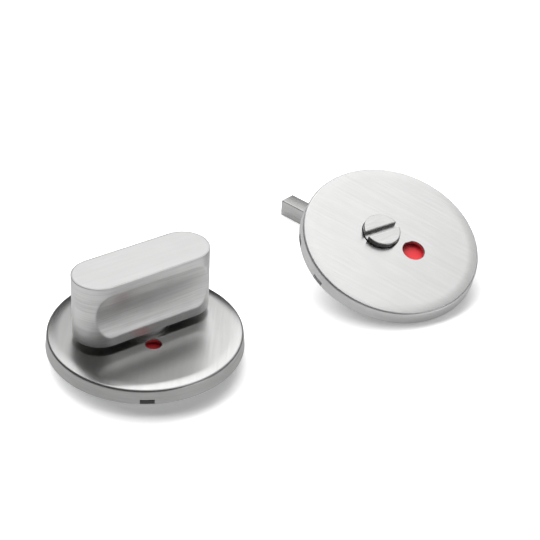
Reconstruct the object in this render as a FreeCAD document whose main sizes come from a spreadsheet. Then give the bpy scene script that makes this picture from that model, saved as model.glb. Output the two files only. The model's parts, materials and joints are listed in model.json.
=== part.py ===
import FreeCAD, Part
import math
import os
import types
import Sketcher

# The lock set of a bathroom door, laid out on a flat surface: the inside half with its thumb turn,
# the outside half with its coin release, and the loose square spindle that joins the two through the door.
# The inside half stands on the hub behind its base plate. The outside half leans: its rim touches
# the surface and its hub rests on the spindle.
# Millimetres, +Z up. The origin is on the thumb turn's axis, at the back face of the inside rose,
# which is the face that lies on the door.

SIZES = (
    # roses and their sight windows
    ("rose_diameter", 52.0),
    ("rose_height", 4.25),
    ("cover_wall", 1.0),
    ("crown_width", 2.4),
    ("crown_drop", 0.3),
    ("crown_round", 18.0),
    ("edge_round", 0.7),
    ("wall_draft", 0.4),
    ("rim_bevel", 0.15),
    ("turn_offset", 3.5),
    ("window_reach", 10.5),
    ("inside_window", 4.2),
    ("outside_window", 6.3),
    ("window_bevel", 0.15),
    ("passage_clearance", 0.2),
    # pry slots through the covers' walls, placed by their angle from the window
    ("pry_slot_width", 3.7),
    ("pry_slot_height", 0.55),
    ("pry_ramp_low", 0.25),
    ("pry_ramp_depth", 0.45),
    ("inside_slot_angle", -16.0),
    ("outside_slot_angle", -117.4),
    ("outside_second_slot_angle", -148.6),
    # base plates with the bearing hub behind them
    ("plate_thickness", 1.8),
    ("plate_clearance", 0.3),
    ("hub_diameter", 15.0),
    ("hub_height", 3.8),
    ("counterbore_diameter", 12.8),
    ("counterbore_depth", 2.4),
    ("screw_inset", 7.0),
    ("screw_hole", 4.3),
    ("screw_head", 7.6),
    # snap rings between base plate and cover
    ("snap_wire", 0.8),
    ("snap_height", 0.9),
    ("snap_bite", 0.05),
    ("snap_clearance", 0.1),
    ("snap_gap_angle", 24.0),
    # bearing bushes
    ("bush_wall", 1.0),
    ("bush_flange_diameter", 14.0),
    ("bush_flange_thickness", 0.6),
    ("running_clearance", 0.05),
    # shanks of the two turning pieces
    ("shank_diameter", 9.0),
    ("shank_recess", 0.4),
    ("shank_bevel", 0.3),
    ("key_diameter", 10.4),
    ("key_clearance", 0.05),
    ("axial_play", 0.1),
    ("socket_clearance", 0.05),
    ("inside_socket_depth", 12.0),
    ("outside_socket_depth", 6.8),
    # indicator discs with their red segments
    ("disc_diameter", 28.6),
    ("disc_thickness", 0.7),
    ("red_thickness", 0.3),
    ("red_inner_diameter", 14.4),
    ("red_margin", 0.4),
    ("red_span_angle", 120.0),
    # stop pins, which hold the turns to a quarter of a turn
    ("stop_reach", 10.0),
    ("stop_pin_diameter", 2.0),
    ("stop_pin_recess", 0.3),
    ("stop_clearance", 0.1),
    ("turn_travel_angle", 90.0),
    # disc springs and retaining rings behind the hubs
    ("spring_thickness", 0.3),
    ("spring_rise", 0.25),
    ("spring_clearance", 0.2),
    ("spring_play", 0.05),
    ("ring_thickness", 0.8),
    ("ring_diameter", 11.6),
    ("ring_seat_diameter", 8.2),
    ("ring_clearance", 0.05),
    ("ring_gap_angle", 60.0),
    # thumb turn
    ("grip_length", 39.1),
    ("grip_width", 14.2),
    ("grip_height", 18.0),
    ("grip_gap", 1.35),
    ("grip_bevel", 0.15),
    ("neck_diameter", 13.8),
    ("scoop_radius", 15.0),
    ("scoop_height", 12.6),
    # coin release
    ("coin_diameter", 10.6),
    ("coin_rise", 1.75),
    ("coin_bevel", 0.2),
    ("coin_slot_width", 1.8),
    ("coin_slot_depth", 1.4),
    # spindle
    ("spindle_section", 5.0),
    ("spindle_length", 50.0),
    ("spindle_bevel", 0.35),
    # how the three lie, with angles from +X and each turn's angle from its locked place
    ("inside_window_angle", -67.0),
    ("inside_turn_angle", 14.2),
    ("outside_place_x", 65.95),
    ("outside_place_y", 40.35),
    ("outside_lean_angle", 21.7),
    ("outside_lean_heading_angle", -62.9),
    ("outside_twist_angle", -22.7),
    ("outside_turn_angle", -34.5),
    ("spindle_heading_angle", -41.0),
    ("spindle_reach", 38.7),
    ("spindle_rest_clearance", 0.02),
)

UP = FreeCAD.Vector(0, 0, 1)
CUTS = ("PartDesign::Pocket", "PartDesign::Groove", "PartDesign::Chamfer", "PartDesign::Fillet")


class Size:
    """A size, held as its value and as the formula that binds it to the sheet."""

    def __init__(self, value, formula):
        self.value = value
        self.formula = formula

    def __add__(self, other):
        other = as_size(other)
        return Size(self.value + other.value, "(%s + %s)" % (self.formula, other.formula))

    def __sub__(self, other):
        other = as_size(other)
        return Size(self.value - other.value, "(%s - %s)" % (self.formula, other.formula))

    def __mul__(self, other):
        other = as_size(other)
        return Size(self.value * other.value, "(%s * %s)" % (self.formula, other.formula))

    def __truediv__(self, other):
        other = as_size(other)
        return Size(self.value / other.value, "(%s / %s)" % (self.formula, other.formula))

    def __neg__(self):
        return Size(-self.value, "(0 - %s)" % self.formula)


def as_size(number):
    """A bare number as a size, so that it can stand in a sum."""
    if isinstance(number, Size):
        return number
    return Size(float(number), "%s" % number)


def sine(angle):
    return Size(math.sin(math.radians(angle.value)), "sin(%s)" % angle.formula)


def cosine(angle):
    return Size(math.cos(math.radians(angle.value)), "cos(%s)" % angle.formula)


def root(square):
    """Square root, and nought where the square is less than nought."""
    return Size(math.sqrt(max(square.value, 0.0)), "sqrt(max(%s; 0))" % square.formula)


def write_sheet(doc):
    """Writes the driving sizes into the document's sheet and returns them by name."""
    sheet = doc.addObject("Spreadsheet::Sheet", "sizes")
    named = {}
    for row, (alias, value) in enumerate(SIZES, start=1):
        sheet.set("A%d" % row, alias.replace("_", " "))
        sheet.set("B%d" % row, "%s" % value)
        sheet.setAlias("B%d" % row, alias)
        named[alias] = Size(value, "sizes.%s" % alias)
    doc.recompute()
    return types.SimpleNamespace(**named)


doc = FreeCAD.newDocument("bathroom_lock_set")
s = write_sheet(doc)
ZERO = as_size(0)

# Radii and heights that several pieces share. Heights count from the door's face along a half's own axis.
rose_radius = s.rose_diameter / 2
cover_inner_radius = rose_radius - s.cover_wall
cover_underside = s.rose_height - s.cover_wall
crown_radius = rose_radius - s.crown_width
rim_top_radius = rose_radius - s.wall_draft
rim_top = s.rose_height - s.crown_drop
plate_radius = cover_inner_radius - s.plate_clearance
snap_centre_radius = cover_inner_radius + s.snap_bite - s.snap_wire / 2
snap_half_slot = s.snap_wire / 2 + s.snap_clearance
shank_radius = s.shank_diameter / 2
bush_bore_radius = shank_radius + s.running_clearance
bush_radius = bush_bore_radius + s.bush_wall
shank_end = s.shank_recess - s.hub_height
disc_bottom = s.plate_thickness + s.axial_play
disc_top = disc_bottom + s.disc_thickness
counterbore_floor = s.counterbore_depth - s.hub_height
spring_top = counterbore_floor - s.spring_play
ring_top = spring_top - s.spring_rise - s.spring_thickness
ring_bottom = ring_top - s.ring_thickness
ring_seat_bottom = ring_bottom - s.ring_clearance
socket_width = s.spindle_section + s.socket_clearance * 2
red_outer_radius = s.disc_diameter / 2 - s.red_margin
grip_bottom = s.rose_height + s.grip_gap
window_from_centre = s.window_reach - s.turn_offset
screw_reach = rose_radius - s.screw_inset


class Pose:
    """A place and a turn in the layout, as the formula of a Placement."""

    def __init__(self, x, y, z, turn):
        self.x = x
        self.y = y
        self.z = z
        self.turn = turn

    def put(self, piece, spin=ZERO):
        """Places a piece, spun about its own axis first."""
        base = "create(<<vector>>; %s; %s; %s)" % (self.x.formula, self.y.formula, self.z.formula)
        turn = "%s * %s" % (self.turn, turn_about(("0", "0", "1"), spin))
        piece.setExpression("Placement", "create(<<placement>>; %s; %s)" % (base, turn))


def turn_about(axis, angle):
    """Formula of a rotation about an axis."""
    return "create(<<rotation>>; create(<<vector>>; %s; %s; %s); %s)" % (*axis, angle.formula)


# The inside half stands upright, with its window's direction as its own X.
inside_turn = turn_about(("0", "0", "1"), s.inside_window_angle)
inside_axis = Pose(ZERO, ZERO, ZERO, inside_turn)
inside_rose = Pose(
    s.turn_offset * cosine(s.inside_window_angle),
    s.turn_offset * sine(s.inside_window_angle),
    ZERO,
    inside_turn,
)

# The outside half leans towards a heading. Down-slope and level are the two directions of its back plane,
# seen from above: its window lies partly down-slope and partly level.
lean_sine = sine(s.outside_lean_angle)
lean_cosine = cosine(s.outside_lean_angle)
heading_sine = sine(s.outside_lean_heading_angle)
heading_cosine = cosine(s.outside_lean_heading_angle)
window_down_slope = cosine(s.outside_twist_angle - s.outside_lean_heading_angle)
window_level = sine(s.outside_twist_angle - s.outside_lean_heading_angle)
floor = -s.hub_height
rim_foot_radius = rose_radius - s.rim_bevel
outside_turn = "%s * %s" % (
    turn_about(("0 - " + heading_sine.formula, heading_cosine.formula, "0"), s.outside_lean_angle),
    turn_about(("0", "0", "1"), s.outside_twist_angle),
)
outside_rose = Pose(s.outside_place_x, s.outside_place_y, floor + rim_foot_radius * lean_sine, outside_turn)


def from_outside_rose(down_slope, level, up):
    """A point of the layout, given from the outside rose's centre by level distances and a height."""
    return (
        outside_rose.x + down_slope * heading_cosine - level * heading_sine,
        outside_rose.y + down_slope * heading_sine + level * heading_cosine,
        outside_rose.z + up,
    )


axis_down_slope = -s.turn_offset * window_down_slope
axis_level = -s.turn_offset * window_level
axis_rise = -axis_down_slope * lean_sine
outside_axis = Pose(*from_outside_rose(axis_down_slope * lean_cosine, axis_level, axis_rise), outside_turn)

# The spindle lies on the surface beside the lowest part of the outside hub, and its upper edge
# carries the hub's edge where the hub's end face comes down to the spindle's height.
hub_end_down_slope = axis_down_slope * lean_cosine - s.hub_height * lean_sine
hub_end_x, hub_end_y, hub_end_z = from_outside_rose(
    hub_end_down_slope, axis_level, axis_rise - s.hub_height * lean_cosine
)
carried_height = s.spindle_section + s.spindle_rest_clearance
contact_down_slope = (hub_end_z - floor - carried_height) / lean_sine
contact_level = root(s.hub_diameter * s.hub_diameter / 4 - contact_down_slope * contact_down_slope)
spindle_skew = s.spindle_heading_angle - s.outside_lean_heading_angle
spindle_aside = contact_level * cosine(spindle_skew) - contact_down_slope * lean_cosine * sine(spindle_skew)
spindle_sine = sine(s.spindle_heading_angle)
spindle_cosine = cosine(s.spindle_heading_angle)
spindle_pose = Pose(
    hub_end_x - s.spindle_reach * spindle_cosine - spindle_aside * spindle_sine,
    hub_end_y - s.spindle_reach * spindle_sine + spindle_aside * spindle_cosine,
    floor,
    turn_about(("0", "0", "1"), s.spindle_heading_angle),
)


def new_body(name):
    body = doc.addObject("PartDesign::Body", name)
    body.Label = name
    return body


def new_sketch(body, name, role, lift=None):
    """A sketch on one of the body's own origin planes, lifted along the plane's normal."""
    sketch = body.newObject("Sketcher::SketchObject", "%s_%s" % (body.Name, name))
    plane = next(feature for feature in body.Origin.OriginFeatures if feature.Role == role)
    sketch.AttachmentSupport = [(plane, "")]
    sketch.MapMode = "FlatFace"
    if lift is not None:
        sketch.setExpression("AttachmentOffset.Base.z", lift.formula)
    return sketch


def bind(sketch, kind, references, size, label):
    """Adds a dimension to a sketch and ties it to the sheet."""
    index = sketch.addConstraint(Sketcher.Constraint(kind, *references, size.value))
    sketch.renameConstraint(index, label)
    sketch.setExpression("Constraints.%s" % label, size.formula)


def fix_point(sketch, geometry, end, x, y):
    """Dimensions one end of a line or the centre of a circle from the sketch's origin."""
    bind(sketch, "DistanceX", (-1, 1, geometry, end), x, "x_%d_%d" % (geometry, end))
    bind(sketch, "DistanceY", (-1, 1, geometry, end), y, "y_%d_%d" % (geometry, end))


def draw_circle(sketch, radius, x=ZERO, y=ZERO):
    centre = FreeCAD.Vector(x.value, y.value, 0)
    index = sketch.addGeometry(Part.Circle(centre, UP, radius.value))
    bind(sketch, "Radius", (index,), radius, "radius_%d" % index)
    fix_point(sketch, index, 3, x, y)


def draw_outline(sketch, corners):
    """Draws a closed outline of straight lines with every corner dimensioned."""
    points = [FreeCAD.Vector(x.value, y.value, 0) for x, y in corners]
    first = sketch.GeometryCount
    for start, end in zip(points, points[1:] + points[:1]):
        sketch.addGeometry(Part.LineSegment(start, end))
    for step in range(len(points)):
        following = (step + 1) % len(points)
        sketch.addConstraint(Sketcher.Constraint("Coincident", first + step, 2, first + following, 1))
    for step, (x, y) in enumerate(corners):
        fix_point(sketch, first + step, 1, x, y)


def draw_rectangle(sketch, left, right, low, high):
    draw_outline(sketch, ((left, low), (right, low), (right, high), (left, high)))


def draw_obround(sketch, length, width):
    """Draws a straight slot shape about the origin, with its length along the sketch's Y."""
    radius = width / 2
    reach = (length - width) / 2
    side = FreeCAD.Vector(radius.value, 0, 0)
    top = FreeCAD.Vector(0, reach.value, 0)
    upper = sketch.addGeometry(Part.ArcOfCircle(Part.Circle(top, UP, radius.value), 0, math.pi))
    left = sketch.addGeometry(Part.LineSegment(top - side, -top - side))
    lower = sketch.addGeometry(Part.ArcOfCircle(Part.Circle(-top, UP, radius.value), math.pi, 2 * math.pi))
    right = sketch.addGeometry(Part.LineSegment(side - top, side + top))
    for before, after in ((upper, left), (left, lower), (lower, right), (right, upper)):
        sketch.addConstraint(Sketcher.Constraint("Tangent", before, 2, after, 1))
    fix_point(sketch, upper, 3, ZERO, reach)
    fix_point(sketch, lower, 3, ZERO, -reach)
    bind(sketch, "Radius", (upper,), radius, "end_radius")


def draw_double_flat(sketch, radius, half_width):
    """Draws a circle with two flats, which lie across the sketch's X."""
    rise = math.sqrt(radius.value ** 2 - half_width.value ** 2)
    tilt = math.atan2(rise, half_width.value)
    circle = Part.Circle(FreeCAD.Vector(0, 0, 0), UP, radius.value)
    upper = sketch.addGeometry(Part.ArcOfCircle(circle, tilt, math.pi - tilt))
    lower = sketch.addGeometry(Part.ArcOfCircle(circle, math.pi + tilt, 2 * math.pi - tilt))
    corner = FreeCAD.Vector(half_width.value, rise, 0)
    across = FreeCAD.Vector(half_width.value, -rise, 0)
    left = sketch.addGeometry(Part.LineSegment(-across, -corner))
    right = sketch.addGeometry(Part.LineSegment(across, corner))
    for before, after in ((upper, left), (left, lower), (lower, right), (right, upper)):
        sketch.addConstraint(Sketcher.Constraint("Coincident", before, 2, after, 1))
    for arc in (upper, lower):
        sketch.addConstraint(Sketcher.Constraint("Coincident", arc, 3, -1, 1))
        bind(sketch, "Radius", (arc,), radius, "radius_%d" % arc)
    for flat, distance in ((left, -half_width), (right, half_width)):
        sketch.addConstraint(Sketcher.Constraint("Vertical", flat))
        bind(sketch, "DistanceX", (-1, 1, flat, 1), distance, "flat_%d" % flat)


def add_feature(body, kind, name, sketch):
    feature = body.newObject("PartDesign::%s" % kind, "%s_%s" % (body.Name, name))
    feature.Profile = sketch
    return feature


def pad(body, name, sketch, length, down=False):
    feature = add_feature(body, "Pad", name, sketch)
    feature.setExpression("Length", length.formula)
    feature.Reversed = down
    doc.recompute()
    return feature


def pocket(body, name, sketch, depth, upwards=False):
    """Cuts a sketch into the body, against the sketch's normal or, upwards, along it."""
    feature = add_feature(body, "Pocket", name, sketch)
    feature.setExpression("Length", depth.formula)
    feature.Reversed = upwards
    doc.recompute()
    return feature


def pocket_across(body, name, sketch, width):
    """Cuts a sketch into the body to half a width on each side of its plane."""
    feature = add_feature(body, "Pocket", name, sketch)
    feature.setExpression("Length", width.formula)
    feature.Midplane = True
    doc.recompute()
    return feature


def pocket_through(body, name, sketch):
    """Cuts a sketch through all of the body, both ways."""
    feature = add_feature(body, "Pocket", name, sketch)
    feature.Type = "ThroughAll"
    feature.Midplane = True
    doc.recompute()
    return feature


def spin_profile(body, kind, name, sketch, angle=None):
    """Revolves a profile about the body's Z, all round or by an angle centred on the sketch's plane."""
    feature = add_feature(body, kind, name, sketch)
    feature.ReferenceAxis = (sketch, ["V_Axis"])
    if angle is not None:
        feature.setExpression("Angle", angle.formula)
        feature.Midplane = True
    doc.recompute()
    return feature


def dress_edges(body, kind, name, size, wanted):
    """Bevels or rounds the edges of the body's last feature that a test picks out."""
    base = body.Tip
    edges = ["Edge%d" % number for number, edge in enumerate(base.Shape.Edges, start=1) if wanted(edge)]
    feature = body.newObject("PartDesign::%s" % kind, "%s_%s" % (body.Name, name))
    feature.Base = (base, edges)
    feature.setExpression("Radius" if kind == "Fillet" else "Size", size.formula)
    doc.recompute()
    return feature


def is_level(edge, height):
    """Whether an edge lies flat at a height of its body's own frame."""
    box = edge.BoundBox
    return abs(box.ZMin - height.value) < 1e-6 and abs(box.ZMax - height.value) < 1e-6


def is_ring(edge, radius, height):
    """Whether an edge is a circle of this radius, flat at this height."""
    if not is_level(edge, height) or not hasattr(edge.Curve, "Radius"):
        return False
    return abs(edge.Curve.Radius - radius.value) < 1e-6


def make_cover(name, pose, passage_radius, window_diameter, slot_angles):
    """A round cup with a crowned edge, an eccentric passage for the turn, a sight window and pry slots."""
    body = new_body(name)
    section = new_sketch(body, "section", "XZ_Plane")
    snap_low = s.snap_height - snap_half_slot
    snap_high = s.snap_height + snap_half_slot
    snap_depth_radius = cover_inner_radius + s.snap_bite + s.snap_clearance
    draw_outline(section, (
        (ZERO, s.rose_height),
        (ZERO, cover_underside),
        (cover_inner_radius, cover_underside),
        (cover_inner_radius, snap_high),
        (snap_depth_radius, snap_high),
        (snap_depth_radius, snap_low),
        (cover_inner_radius, snap_low),
        (cover_inner_radius, ZERO),
        (rim_foot_radius, ZERO),
        (rose_radius, s.rim_bevel),
        (rim_top_radius, rim_top),
        (crown_radius, s.rose_height),
    ))
    spin_profile(body, "Revolution", "cup", section)
    dress_edges(body, "Fillet", "edge", s.edge_round, lambda edge: is_ring(edge, rim_top_radius, rim_top))
    dress_edges(
        body, "Fillet", "crown", s.crown_round,
        lambda edge: is_ring(edge, crown_radius, s.rose_height),
    )
    passage = new_sketch(body, "passage_outline", "XY_Plane")
    draw_circle(passage, passage_radius + s.passage_clearance, -s.turn_offset)
    pocket(body, "passage", passage, s.rose_height, upwards=True)
    window = new_sketch(body, "window_outline", "XY_Plane")
    draw_circle(window, window_diameter / 2, window_from_centre)
    pocket(body, "window", window, s.rose_height, upwards=True)
    dress_edges(
        body, "Chamfer", "window_edge", s.window_bevel,
        lambda edge: is_ring(edge, window_diameter / 2, s.rose_height),
    )
    slot_low = snap_high - s.pry_slot_height
    clear_radius = rose_radius + s.cover_wall
    for number, angle in enumerate(slot_angles, start=1):
        slot = new_sketch(body, "pry_slot_section_%d" % number, "XZ_Plane")
        draw_outline(slot, (
            (plate_radius, slot_low),
            (rose_radius - s.pry_ramp_depth, slot_low),
            (rose_radius, s.pry_ramp_low),
            (clear_radius, s.pry_ramp_low),
            (clear_radius, snap_high),
            (plate_radius, snap_high),
        ))
        turn = turn_about(("0", "1", "0"), angle)
        middle = "create(<<vector>>; 0; 0; 0)"
        slot.setExpression("AttachmentOffset", "create(<<placement>>; %s; %s)" % (middle, turn))
        pocket_across(body, "pry_slot_%d" % number, slot, s.pry_slot_width)
    pose.put(body)
    return body


def make_base_plate(name, pose):
    """A round plate with the bearing hub behind it, countersunk screw holes and a groove round its rim."""
    body = new_body(name)
    section = new_sketch(body, "section", "XZ_Plane")
    groove_radius = snap_centre_radius - snap_half_slot
    draw_outline(section, (
        (ZERO, ZERO),
        (plate_radius, ZERO),
        (plate_radius, s.snap_height - snap_half_slot),
        (groove_radius, s.snap_height - snap_half_slot),
        (groove_radius, s.snap_height + snap_half_slot),
        (plate_radius, s.snap_height + snap_half_slot),
        (plate_radius, s.plate_thickness),
        (ZERO, s.plate_thickness),
    ))
    spin_profile(body, "Revolution", "plate", section)
    hub = new_sketch(body, "hub_outline", "XY_Plane")
    draw_circle(hub, s.hub_diameter / 2, -s.turn_offset)
    pad(body, "hub", hub, s.hub_height, down=True)
    bore = new_sketch(body, "bore_outline", "XY_Plane")
    draw_circle(bore, bush_radius, -s.turn_offset)
    pocket_through(body, "bore", bore)
    recess = new_sketch(body, "flange_outline", "XY_Plane", s.plate_thickness)
    draw_circle(recess, s.bush_flange_diameter / 2, -s.turn_offset)
    pocket(body, "flange_recess", recess, s.bush_flange_thickness)
    counterbore = new_sketch(body, "counterbore_outline", "XY_Plane", -s.hub_height)
    draw_circle(counterbore, s.counterbore_diameter / 2, -s.turn_offset)
    pocket(body, "counterbore", counterbore, s.counterbore_depth, upwards=True)
    holes = new_sketch(body, "hole_outlines", "XY_Plane")
    for side in (-1, 1):
        draw_circle(holes, s.screw_hole / 2, -s.turn_offset, screw_reach * side)
    draw_circle(holes, s.stop_pin_diameter / 2, -s.turn_offset - s.stop_reach)
    pocket_through(body, "holes", holes)
    dress_edges(
        body, "Chamfer", "countersinks", (s.screw_head - s.screw_hole) / 2,
        lambda edge: is_ring(edge, s.screw_hole / 2, s.plate_thickness),
    )
    pose.put(body)
    return body


def make_snap_ring(name, pose):
    """An open ring of square spring wire, sprung into the grooves of the base plate and the cover."""
    body = new_body(name)
    section = new_sketch(body, "section", "XZ_Plane")
    half_wire = s.snap_wire / 2
    draw_rectangle(
        section,
        snap_centre_radius - half_wire,
        snap_centre_radius + half_wire,
        s.snap_height - half_wire,
        s.snap_height + half_wire,
    )
    spin_profile(body, "Revolution", "ring", section, as_size(360) - s.snap_gap_angle)
    pose.put(body)
    return body


def make_bush(name, pose):
    """A flanged plain bearing pressed into the base plate's hub."""
    body = new_body(name)
    section = new_sketch(body, "section", "XZ_Plane")
    flange_bottom = s.plate_thickness - s.bush_flange_thickness
    draw_outline(section, (
        (bush_bore_radius, counterbore_floor),
        (bush_radius, counterbore_floor),
        (bush_radius, flange_bottom),
        (s.bush_flange_diameter / 2, flange_bottom),
        (s.bush_flange_diameter / 2, s.plate_thickness),
        (bush_bore_radius, s.plate_thickness),
    ))
    spin_profile(body, "Revolution", "bush", section)
    pose.put(body)
    return body


def make_stop_pin(name, pose):
    """A dowel in the base plate that stands into the indicator disc's arc slot."""
    body = new_body(name)
    outline = new_sketch(body, "outline", "XY_Plane")
    draw_circle(outline, s.stop_pin_diameter / 2, -s.stop_reach)
    pad(body, "dowel", outline, disc_top - s.stop_pin_recess)
    pose.put(body)
    return body


def make_indicator_disc(name, pose, rest_angle, travel_sense):
    """A thin disc keyed to the shank, with a recess for the red segment and an arc slot for the stop pin."""
    body = new_body(name)
    outline = new_sketch(body, "outline", "XY_Plane", disc_bottom)
    draw_circle(outline, s.disc_diameter / 2)
    draw_double_flat(outline, s.key_diameter / 2 + s.key_clearance, shank_radius + s.key_clearance)
    pad(body, "disc", outline, s.disc_thickness)
    recess = new_sketch(body, "recess_section", "XZ_Plane")
    draw_rectangle(recess, s.red_inner_diameter / 2, red_outer_radius, disc_top - s.red_thickness, disc_top)
    spin_profile(body, "Groove", "recess", recess, s.red_span_angle)
    half_slot = s.stop_pin_diameter / 2 + s.stop_clearance
    slot_middle = as_size(180) - s.turn_travel_angle / 2 * travel_sense
    arc = new_sketch(body, "arc_section", "XZ_Plane")
    draw_rectangle(arc, s.stop_reach - half_slot, s.stop_reach + half_slot, disc_bottom, disc_top)
    arc.setExpression("AttachmentOffset.Rotation.Axis.x", "0")
    arc.setExpression("AttachmentOffset.Rotation.Axis.y", "1")
    arc.setExpression("AttachmentOffset.Rotation.Axis.z", "0")
    arc.setExpression("AttachmentOffset.Rotation.Angle", slot_middle.formula)
    spin_profile(body, "Groove", "arc_slot", arc, s.turn_travel_angle)
    ends = new_sketch(body, "slot_end_outlines", "XY_Plane", disc_bottom)
    for end_angle in (as_size(180), as_size(180) - s.turn_travel_angle * travel_sense):
        draw_circle(ends, half_slot, s.stop_reach * cosine(end_angle), s.stop_reach * sine(end_angle))
    pocket(body, "slot_ends", ends, s.disc_thickness, upwards=True)
    pose.put(body, rest_angle)
    return body


def make_red_segment(name, pose, rest_angle):
    """The red field of the indicator, let in flush with the disc's face."""
    body = new_body(name)
    section = new_sketch(body, "section", "XZ_Plane")
    draw_rectangle(section, s.red_inner_diameter / 2, red_outer_radius, disc_top - s.red_thickness, disc_top)
    spin_profile(body, "Revolution", "segment", section, s.red_span_angle)
    pose.put(body, rest_angle)
    return body


def make_disc_spring(name, pose, rest_angle):
    """A coned spring washer between the hub's counterbore and the retaining ring."""
    body = new_body(name)
    section = new_sketch(body, "section", "XZ_Plane")
    inner = shank_radius + s.spring_clearance
    outer = s.counterbore_diameter / 2 - s.spring_clearance
    inner_top = spring_top - s.spring_rise
    draw_outline(section, (
        (inner, inner_top - s.spring_thickness),
        (outer, spring_top - s.spring_thickness),
        (outer, spring_top),
        (inner, inner_top),
    ))
    spin_profile(body, "Revolution", "cone", section)
    pose.put(body, rest_angle)
    return body


def make_retaining_ring(name, pose, rest_angle):
    """An open flat ring sprung into the shank's groove."""
    body = new_body(name)
    section = new_sketch(body, "section", "XZ_Plane")
    seat = s.ring_seat_diameter / 2 + s.ring_clearance
    draw_rectangle(section, seat, s.ring_diameter / 2, ring_bottom, ring_top)
    spin_profile(body, "Revolution", "ring", section, as_size(360) - s.ring_gap_angle)
    pose.put(body, rest_angle)
    return body


def shank_corners():
    """Profile of a shank from below its shoulder to its bevelled end, with the retaining ring's groove."""
    seat = s.ring_seat_diameter / 2
    return (
        (shank_radius, disc_top),
        (shank_radius, ring_top),
        (seat, ring_top),
        (seat, ring_seat_bottom),
        (shank_radius, ring_seat_bottom),
        (shank_radius, shank_end + s.shank_bevel),
        (shank_radius - s.shank_bevel, shank_end),
        (ZERO, shank_end),
    )


def finish_shank(body, socket_depth):
    """Adds the keyed seat of the indicator disc and cuts the spindle's square socket."""
    key = new_sketch(body, "key_outline", "XY_Plane", disc_bottom)
    draw_double_flat(key, s.key_diameter / 2, shank_radius)
    pad(body, "key", key, s.disc_thickness)
    socket = new_sketch(body, "socket_outline", "XY_Plane", shank_end)
    draw_rectangle(socket, -socket_width / 2, socket_width / 2, -socket_width / 2, socket_width / 2)
    pocket(body, "socket", socket, socket_depth, upwards=True)


def make_thumb_turn(name, pose, rest_angle):
    """An upright obround grip with a finger scoop along each side, on a round neck and shank."""
    body = new_body(name)
    outline = new_sketch(body, "grip_outline", "XY_Plane", grip_bottom)
    draw_obround(outline, s.grip_length, s.grip_width)
    pad(body, "grip", outline, s.grip_height)
    grip_top = grip_bottom + s.grip_height
    dress_edges(
        body, "Chamfer", "grip_edges", s.grip_bevel,
        lambda edge: is_level(edge, grip_top) or is_level(edge, grip_bottom),
    )
    scoops = new_sketch(body, "scoop_section", "XZ_Plane")
    scoop_middle = grip_bottom + s.grip_height / 2
    half_height = s.scoop_height / 2
    scoop_centre = s.grip_width / 2 + root(s.scoop_radius * s.scoop_radius - half_height * half_height)
    for side in (-1, 1):
        draw_circle(scoops, s.scoop_radius, scoop_centre * side, scoop_middle)
    pocket_through(body, "scoops", scoops)
    section = new_sketch(body, "stem_section", "XZ_Plane")
    draw_outline(section, (
        (ZERO, grip_bottom),
        (s.neck_diameter / 2, grip_bottom),
        (s.neck_diameter / 2, disc_top),
    ) + shank_corners())
    spin_profile(body, "Revolution", "stem", section)
    finish_shank(body, s.inside_socket_depth)
    pose.put(body, rest_angle)
    return body


def make_coin_release(name, pose, rest_angle):
    """A round head with a coin slot across it, on the same shank as the thumb turn's."""
    body = new_body(name)
    head_radius = s.coin_diameter / 2
    head_top = s.rose_height + s.coin_rise
    section = new_sketch(body, "section", "XZ_Plane")
    draw_outline(section, (
        (ZERO, head_top),
        (head_radius - s.coin_bevel, head_top),
        (head_radius, head_top - s.coin_bevel),
        (head_radius, disc_top),
    ) + shank_corners())
    spin_profile(body, "Revolution", "head", section)
    slot = new_sketch(body, "slot_outline", "XY_Plane", head_top)
    half_width = s.coin_slot_width / 2
    draw_rectangle(slot, -half_width, half_width, -s.coin_diameter, s.coin_diameter)
    pocket(body, "slot", slot, s.coin_slot_depth)
    finish_shank(body, s.outside_socket_depth)
    pose.put(body, rest_angle)
    return body


def make_spindle(name):
    """A square bar with bevelled ends."""
    body = new_body(name)
    outline = new_sketch(body, "outline", "YZ_Plane")
    draw_rectangle(outline, ZERO, s.spindle_section, ZERO, s.spindle_section)
    pad(body, "bar", outline, s.spindle_length)

    def at_an_end(edge):
        return edge.BoundBox.XLength < 1e-6

    dress_edges(body, "Chamfer", "ends", s.spindle_bevel, at_an_end)
    spindle_pose.put(body)
    return body


def make_bearing_parts(side, rose_pose, axis_pose, rest_angle, travel_sense):
    """The pieces that both halves have alike, behind their covers."""
    return [
        make_base_plate("%s_base_plate" % side, rose_pose),
        make_snap_ring("%s_snap_ring" % side, rose_pose),
        make_bush("%s_bush" % side, axis_pose),
        make_stop_pin("%s_stop_pin" % side, axis_pose),
        make_indicator_disc("%s_indicator_disc" % side, axis_pose, rest_angle, travel_sense),
        make_red_segment("%s_red_segment" % side, axis_pose, rest_angle),
        make_disc_spring("%s_disc_spring" % side, axis_pose, rest_angle),
        make_retaining_ring("%s_retaining_ring" % side, axis_pose, rest_angle),
    ]


def make_inside_half():
    cover = make_cover(
        "inside_cover", inside_rose, s.neck_diameter / 2, s.inside_window, (s.inside_slot_angle,)
    )
    turn = make_thumb_turn("thumb_turn", inside_axis, s.inside_turn_angle)
    bearing = make_bearing_parts("inside", inside_rose, inside_axis, s.inside_turn_angle, 1)
    return [cover, turn] + bearing


def make_outside_half():
    cover = make_cover(
        "outside_cover", outside_rose, s.coin_diameter / 2, s.outside_window,
        (s.outside_slot_angle, s.outside_second_slot_angle),
    )
    release = make_coin_release("coin_release", outside_axis, s.outside_turn_angle)
    bearing = make_bearing_parts("outside", outside_rose, outside_axis, s.outside_turn_angle, -1)
    return [cover, release] + bearing


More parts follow.
